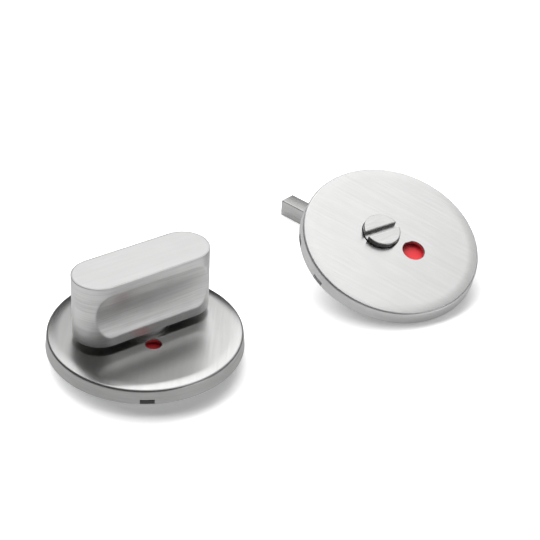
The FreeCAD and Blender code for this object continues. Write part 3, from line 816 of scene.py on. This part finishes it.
    def make(self, *finishes: Material) -> None:
        """Makes the cover in place of the solid one: rim, crowned border, two holes, face and underside.

        Args:
            finishes: Those of the face and of the rim; the rim's is a copy of the steel, darkened as painted shade on
                the inside rose and lightened as painted light on the outside one.
        """
        shell = Shell()
        angles, in_slot = self.rim_angles()
        border, edge = self.face_profiles()
        # The rim takes its own copy of the steel: darkened as painted shade inside, lightened as painted light outside.
        shell.finish = 1
        self.add_rim(shell, edge, angles, in_slot)
        shell.finish = 0
        brush_angle = math.radians(self.brush_angle)
        crown = ring(border[:, :1], angles, border[:, 1:])
        crown = np.concatenate((crown, crown[:, :1]), axis=1)
        shell.add_grid(crown, flat_marks(crown, brush_angle))
        passage = self.add_hole(shell, self.passage_radius, -self.turn_offset, self.passage_bevel)
        window = self.add_hole(shell, self.window_radius, self.window_from_centre, self.window_bevel)
        single = np.diff(angles, prepend=-1.0) > 2.0 * STEP_ANGLE
        face = ring(border[0, 0], angles[single], self.height)
        underside = ring(self.radius - self.wall, angles[single], self.height - self.wall)
        shell.add_flat([face, passage[0], window[0]], brush_angle)
        shell.add_flat([underside, passage[1], window[1]], brush_angle)
        place = place_of_half(self.side).moved_along_x(self.turn_offset)
        piece = shell.to_object(f"{self.side.value}_rose", place)
        dress(piece, finishes, Body.SET, f"{self.side.value}_cover")


@dataclass
class ThumbTurn:
    """An upright obround grip with a finger scoop along each side, on a round neck."""

    length: float = 39.1
    width: float = 14.2
    height: float = 18.0
    bottom: float = 5.6
    edge_round: float = 0.2
    edge_margin: float = 0.3
    scoop_radius: float = 15.0
    scoop_height: float = 12.6
    scoop_edge: float = 0.16
    neck_radius: float = 6.9
    stem: Stem = field(default_factory=lambda: Stem(socket_depth=12.0))

    def half_outline(self) -> tuple[Array, Array, Array]:
        """Right half of an obround from its near end to its far end: a quarter circle, a straight, a quarter circle.

        Returns:
            The points, the directions outwards, and the lengths along the outline.
        """
        end_radius = self.width / 2.0
        straight = self.length / 2.0 - end_radius
        bend = quarter(GRIP_END_POINTS)
        rest = np.linspace(-straight, straight, GRIP_SIDE_POINTS)[1:-1]
        angles = np.concatenate((bend - np.pi / 2.0, np.zeros(len(rest)), bend))
        centres = np.concatenate((np.full(len(bend), -straight), rest, np.full(len(bend), straight)))
        outwards = directions(angles)
        points = end_radius * outwards + np.outer(centres, (0.0, 1.0))
        return points, outwards, lengths_along(points)

    def scoop_chord(self, offsets: float | Array) -> Array:
        """Returns half the chords of a scoop's circle at heights from its middle."""
        return np.sqrt(np.maximum(self.scoop_radius ** 2 - offsets ** 2, 0.0))

    def scoop_reach(self, heights: Array) -> Array:
        """Returns the distances of a scoop's surface from the middle plane."""
        offsets = heights - (self.bottom + self.height / 2.0)
        return self.width / 2.0 + self.scoop_chord(self.scoop_height / 2.0) - self.scoop_chord(offsets)

    def rows(self) -> tuple[Array, Array]:
        """Heights and insets of the sections, from the underside's margin to the top's, with rounded edges.

        Returns:
            The heights and how far each section is set in from the outline.
        """
        rise, inset = edge_rounding(self.edge_round, self.edge_margin, ROUND_POINTS)
        low = self.bottom + self.edge_round
        high = self.bottom + self.height - self.edge_round
        sides = np.linspace(low, high, GRIP_ROWS)[1:-1]
        heights = np.concatenate((low - rise[::-1], sides, high + rise))
        return heights, np.concatenate((inset[::-1], np.zeros(len(sides)), inset))

    def right_half(self) -> tuple[Array, Array]:
        """Right half of the grip's wall: the obround set in row by row, and cut back softly to the scoop.

        Returns:
            The points and UVs, as rows by columns, with the marks along the grip.
        """
        outline, outwards, lengths = self.half_outline()
        heights, insets = self.rows()
        flat = outline[None] - insets[:, None, None] * outwards[None]
        x = soft_least(flat[..., 0], self.scoop_reach(heights[:, None]), self.scoop_edge)
        x = np.where(outline[:, 0] < NEAR_ZERO, 0.0, np.maximum(x, 0.0))
        points = np.stack(np.broadcast_arrays(x, flat[..., 1], heights[:, None]), axis=-1)
        return points, spread_marks(heights[:, None], lengths)

    def make(self, *finishes: Material) -> None:
        """Makes the turn in place of the solid one: half a wall, its mirror image, top, underside and stem.

        Args:
            finishes: Those of the sides and of the top; the top's is a lighter copy of the grip's steel, as painted
                light.
        """
        shell = Shell()
        right, marks = self.right_half()
        left = right * np.array((-1.0, 1.0, 1.0))
        shell.add_grid(right, marks)
        shell.add_grid(left, marks + np.array((FAR_SIDE_SHIFT, 0.0)))
        share = np.linspace(0.0, 1.0, GRIP_TOP_POINTS)[:, None, None]
        top = right[-1] + share * (left[-1] - right[-1])
        # The top face takes the lighter copy of the steel: painted light.
        shell.finish = 1
        shell.add_grid(top, flat_marks(top, 0.0))
        shell.finish = 0
        angles = even_angles(NECK_POINTS)
        underside = np.concatenate((right[0], left[0, -2:0:-1]))
        shell.add_flat([underside, ring(self.neck_radius, angles, self.bottom)])
        shell.add_revolved(np.full(2, self.neck_radius), np.array((self.bottom, self.stem.disc_top)), angles)
        self.stem.add_to(shell, angles, self.neck_radius)
        place = place_of_half(Side.INSIDE).spun(rest_angle("thumb_turn_pivot", 0))
        dress(shell.to_object("grip_and_stem", place), finishes, Body.TURN, "thumb_turn")


@dataclass
class CoinRelease:
    """A round head with a coin slot across it, on a stem."""

    radius: float = 5.3
    top: float = 6.0
    edge_round: float = 0.2
    edge_margin: float = 0.25
    slot_width: float = 1.8
    slot_depth: float = 1.4
    stem: Stem = field(default_factory=lambda: Stem(socket_depth=6.8))

    def half_head(self, inset: float, height: float) -> Array:
        """Outline of one half of the slotted head, set in all round: an arc and the chord along the slot.

        Args:
            inset: How far the outline is set in.
            height: Its height.

        Returns:
            Its points, from the arc's start to the chord's end.
        """
        radius = self.radius - inset
        chord_x = self.slot_width / 2.0 + inset
        half_angle = math.acos(chord_x / radius)
        arc = ring(radius, np.linspace(-half_angle, half_angle, COIN_ARC_POINTS), height)
        half_chord = radius * math.sin(half_angle)
        along = np.linspace(half_chord, -half_chord, COIN_CHORD_POINTS)[1:-1]
        chord = np.column_stack((np.full_like(along, chord_x), along))
        return np.concatenate((arc, at_height(chord, height)))

    def add_half(self, shell: Shell, facing: Array) -> None:
        """Adds one half of the head above the slot's floor, with rounded upper edges.

        Args:
            shell: The piece's patches.
            facing: Signs of the coordinates, which put the half on its side of the slot.
        """
        rise, inset = edge_rounding(self.edge_round, self.edge_margin, COIN_ROUND_POINTS)
        low = self.top - self.edge_round
        walls = np.linspace(self.top - self.slot_depth, low, COIN_ROWS)[:-1]
        heights = np.append(walls, low + rise)
        insets = np.append(np.zeros(len(walls)), inset)
        rows = facing * np.stack([self.half_head(*row) for row in zip(insets, heights)])
        along = lengths_along(rows[0])
        shell.add_grid(rows, spread_marks(heights[:, None], along), 2.0 * along[-1] - along[-2])
        shell.add_flat([rows[-1]])

    def make(self, material: Material) -> None:
        """Makes the release in place of the solid one: two half heads, the slot's floor, a round part and the stem.

        Args:
            material: Its finish.
        """
        shell = Shell()
        for facing in (np.ones(3), HALF_TURN):
            self.add_half(shell, facing)
        floor = self.top - self.slot_depth
        half_angle = math.acos(self.slot_width / 2.0 / self.radius)
        arc = np.linspace(-half_angle, half_angle, COIN_ARC_POINTS)
        gap = np.linspace(half_angle, np.pi - half_angle, COIN_GAP_POINTS)
        half_way = np.append(arc, gap[1:-1])
        angles = np.append(half_way, half_way + np.pi)
        chord = self.half_head(0.0, floor)[COIN_ARC_POINTS:]
        half_floor = np.concatenate((chord[::-1], ring(self.radius, gap, floor)))
        shell.add_flat([np.concatenate((half_floor, half_floor * HALF_TURN))])
        shell.add_revolved(np.full(2, self.radius), np.array((floor, self.stem.disc_top)), angles)
        self.stem.add_to(shell, angles, self.radius)
        place = place_of_half(Side.OUTSIDE).spun(rest_angle("coin_release_pivot", 1))
        piece = shell.to_object("coin_head_and_stem", place)
        dress(piece, (material,), Body.RELEASE, "coin_release")


@dataclass
class SpindleBar:
    """A drawn square bar with slightly rounded edges and bevelled ends."""

    length: float = 50.0
    section: float = 5.0
    corner_round: float = 0.2
    end_bevel: float = 0.35

    def outline(self, inset: float) -> Array:
        """Square outline with round corners, set in all round: four quarter circles on the corners' centres.

        Args:
            inset: How far the outline is set in.

        Returns:
            Points as Y and Z.
        """
        half = self.section / 2.0 - inset - self.corner_round
        angles = (np.arange(4)[:, None] * np.pi / 2.0 + quarter(ROUND_POINTS)).ravel()
        return -half * np.repeat(SQUARE, ROUND_POINTS, axis=0) + self.corner_round * directions(angles)

    def make(self, material: Material) -> None:
        """Makes the bar in place of the solid one: the outline carried along X, set in at both ends, which are flat.

        Args:
            material: Its finish.
        """
        middle = np.linspace(self.end_bevel, self.length - self.end_bevel, BAR_ROWS)
        along = np.concatenate(((0.0,), middle, (self.length,)))
        insets = np.pad(np.zeros(BAR_ROWS), 1, constant_values=self.end_bevel)
        sections = np.stack([self.outline(inset) for inset in insets])
        level = np.broadcast_to(along[:, None, None], sections.shape[:2] + (1,))
        points = np.concatenate((level, sections), axis=-1)
        girth = np.append(lengths_along(sections[1]), 4.0 * self.section)
        shell = Shell()
        shell.add_grid(np.concatenate((points, points[:, :1]), axis=1), spread_marks(girth, along[:, None]))
        for end in (0, -1):
            shell.add_flat([points[end]])
        piece = shell.to_object("square_bar", place_of_spindle())
        dress(piece, (material,), Body.SET, "spindle")


def dress(piece: bpy.types.Object, materials: tuple[Material, ...], body: Body, node: str) -> None:
    """Gives a new piece its finishes, its body and the solid that it stands for.

    Args:
        piece: The new piece.
        materials: Its finishes, in the order of its material slots.
        body: The body that it rides on.
        node: The solid's node.
    """
    for material in materials:
        piece.data.materials.append(material)
    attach(piece, body.value)
    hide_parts(node)
    LOG.info("%s stands for %s, %d faces", piece.name, node, len(piece.data.polygons))


@dataclass
class InnerParts:
    """The solids behind the covers, which keep their shapes and get finishes."""

    finishes: dict[str, CastFinish] = field(default_factory=lambda: {
        "base_plate": PLATED_STEEL,
        "snap_ring": SPRING_STEEL,
        "bush": BEARING_PLASTIC,
        "stop_pin": SPRING_STEEL,
        "indicator_disc": WHITE_LACQUER,
        "red_segment": RED_LACQUER,
        "disc_spring": SPRING_STEEL,
        "retaining_ring": SPRING_STEEL,
    })

    def dress(self, effects: Effects) -> None:
        """Gives both halves' solids their finishes.

        Args:
            effects: The shared node groups.
        """
        made = {finish.name: finish.make(effects) for finish in self.finishes.values()}
        for side in Side:
            for part, finish in self.finishes.items():
                name = f"{side.value}_{part}"
                for slot in frame["nodes"][name].material_slots:
                    slot.material = made[finish.name]
                LOG.info("%s is finished as %s", name, finish.name)


@dataclass(frozen=True)
class Glow:
    """A softly edged field of the studio round a direction, bright or dark.

    Its edge is the cosine of the angle from the direction, where the field starts and where it is full.
    """

    direction: Triple
    edge: Span
    strength: float

    def spread(self, graph: Graph, looked: Socket, ends: Span) -> Socket:
        """Adds a value for a direction, with the first end outside the field and the second in its middle."""
        near = graph.add("VectorMath", {0: looked, 1: Vector(self.direction).normalized()}, operation="DOT_PRODUCT")
        return graph.ranged(near.outputs["Value"], self.edge, ends, interpolation_type="SMOOTHSTEP")


@dataclass
class Studio:
    """The white surface, the light and the camera."""

    floor_height: float = -3.8
    floor_side: float = 6.0
    floor_seen: Colour = (0.93, 0.93, 0.93)
    floor_mirrored: Colour = (0.3, 0.3, 0.3)
    floor_lift: float = 0.245
    camera_place: Triple = (32.82, -303.02, 226.83)
    camera_drop: float = 33.96
    camera_roll: float = 3.45
    camera_near: float = 0.01
    lens: float = 95.44
    sensor: float = 36.0
    key_place: Triple = (-0.2, 0.28, 0.6)
    key_target: Triple = (0.03, 0.02, 0.0)
    key_width: float = 1.7
    key_depth: float = 0.5
    key_power: float = 12.0
    ground_level: float = 0.08
    glows: tuple[Glow, ...] = (
        Glow((0.25, 0.433, 0.866), (0.79, 0.86), 1.68),
        Glow((-0.08, 0.6, 0.796), (0.95, 0.995), 1.95),
        Glow((0.85, -0.53, 0.0), (0.9, 0.99), 1.7),
        Glow((-0.42, 0.62, 0.66), (0.963, 0.995), 1.3),
    )
    dark_card: Glow = Glow((0.8, 0.2, 0.566), (0.785, 0.94), 0.46)

    def make_floor(self) -> None:
        """Lays a surface that is white to the eye, greyer in mirror images, and shines a little in its shadows."""
        corners = at_height(self.floor_side / 2.0 * SQUARE, MM * self.floor_height)
        mesh = bpy.data.meshes.new("white_surface")
        mesh.from_pydata(corners.tolist(), [], [list(range(len(corners)))])
        floor = new_object(mesh)
        material = bpy.data.materials.new("white_surface")
        graph = nodes_of(material)
        seen = graph.add("LightPath").outputs["Is Camera Ray"]
        paper = graph.add("BsdfDiffuse", {"Color": graph.mixed(seen, self.floor_mirrored, self.floor_seen)})
        lift = graph.add("Emission", {"Strength": self.floor_lift})
        both = graph.add("AddShader", {0: paper.outputs[0], 1: lift.outputs[0]})
        graph.add("OutputMaterial", {"Surface": both.outputs[0]})
        mesh.materials.append(material)

    def make_world(self) -> None:
        """Paints the studio round the object: an even level, softly edged brighter fields and a dark card."""
        world = bpy.data.worlds.new("studio")
        bpy.context.scene.world = world
        graph = nodes_of(world)
        looked = graph.add("TexCoord").outputs["Generated"]
        brightest: object = 0.0
        for glow in self.glows:
            brightest = graph.math("MAXIMUM", glow.spread(graph, looked, (0.0, glow.strength)), brightest)
        uncovered = self.dark_card.spread(graph, looked, (1.0, 1.0 - self.dark_card.strength))
        level = graph.math("MULTIPLY_ADD", brightest, uncovered, self.ground_level)
        shown = graph.math("MAXIMUM", level, graph.add("LightPath").outputs["Is Camera Ray"])
        background = graph.add("Background", {"Strength": shown})
        graph.add("OutputWorld", {"Surface": background.outputs[0]})

    def make_key(self) -> None:
        """Hangs a large soft lamp above and behind the object."""
        lamp = bpy.data.lights.new("soft_box", "AREA")
        lamp.shape = "RECTANGLE"
        lamp.size, lamp.size_y = self.key_width, self.key_depth
        lamp.energy = self.key_power
        holder = new_object(lamp)
        holder.location = self.key_place
        holder.visible_glossy = False
        aim = Vector(self.key_target) - Vector(self.key_place)
        holder.rotation_euler = aim.to_track_quat("-Z", "Y").to_euler()

    def make_camera(self) -> None:
        """Sets up the camera as the photograph was taken, looking along Y and down, and rolled a little."""
        camera = bpy.data.cameras.new("camera")
        camera.lens = self.lens
        camera.sensor_width = self.sensor
        camera.clip_start = self.camera_near
        holder = new_object(camera)
        tilt = Matrix.Rotation(math.radians(90.0 - self.camera_drop), 4, "X")
        roll = Matrix.Rotation(math.radians(self.camera_roll), 4, "Z")
        holder.matrix_world = Matrix.Translation(MM * Vector(self.camera_place)) @ tilt @ roll
        bpy.context.scene.camera = holder

    def make(self) -> None:
        """Sets up the whole studio."""
        bpy.context.scene.view_settings.view_transform = "Standard"
        self.make_floor()
        self.make_world()
        self.make_key()
        self.make_camera()


def main() -> None:
    """Builds the lock set and the studio round it."""
    logging.basicConfig(level=logging.INFO, format="%(message)s")
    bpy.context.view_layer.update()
    effects = Effects.make()
    Studio().make()
    rose_steel = ROSE_STEEL.make(effects)
    inside = RoseCover(Side.INSIDE, passage_radius=7.1, window_radius=2.1, slot_angles=(-16.0,), brush_angle=67.0)
    inside.make(rose_steel, SHADED_RIM_STEEL.make(effects))
    outside = RoseCover(
        Side.OUTSIDE, passage_radius=5.5, window_radius=3.15, slot_angles=(-117.4, -148.6), brush_angle=90.0
    )
    outside.make(rose_steel, LIT_RIM_STEEL.make(effects))
    ThumbTurn().make(GRIP_STEEL.make(effects), LIT_TOP_STEEL.make(effects))
    CoinRelease().make(COIN_STEEL.make(effects))
    SpindleBar().make(BAR_STEEL.make(effects))
    InnerParts().dress(effects)


if __name__ == "__main__":
    main()
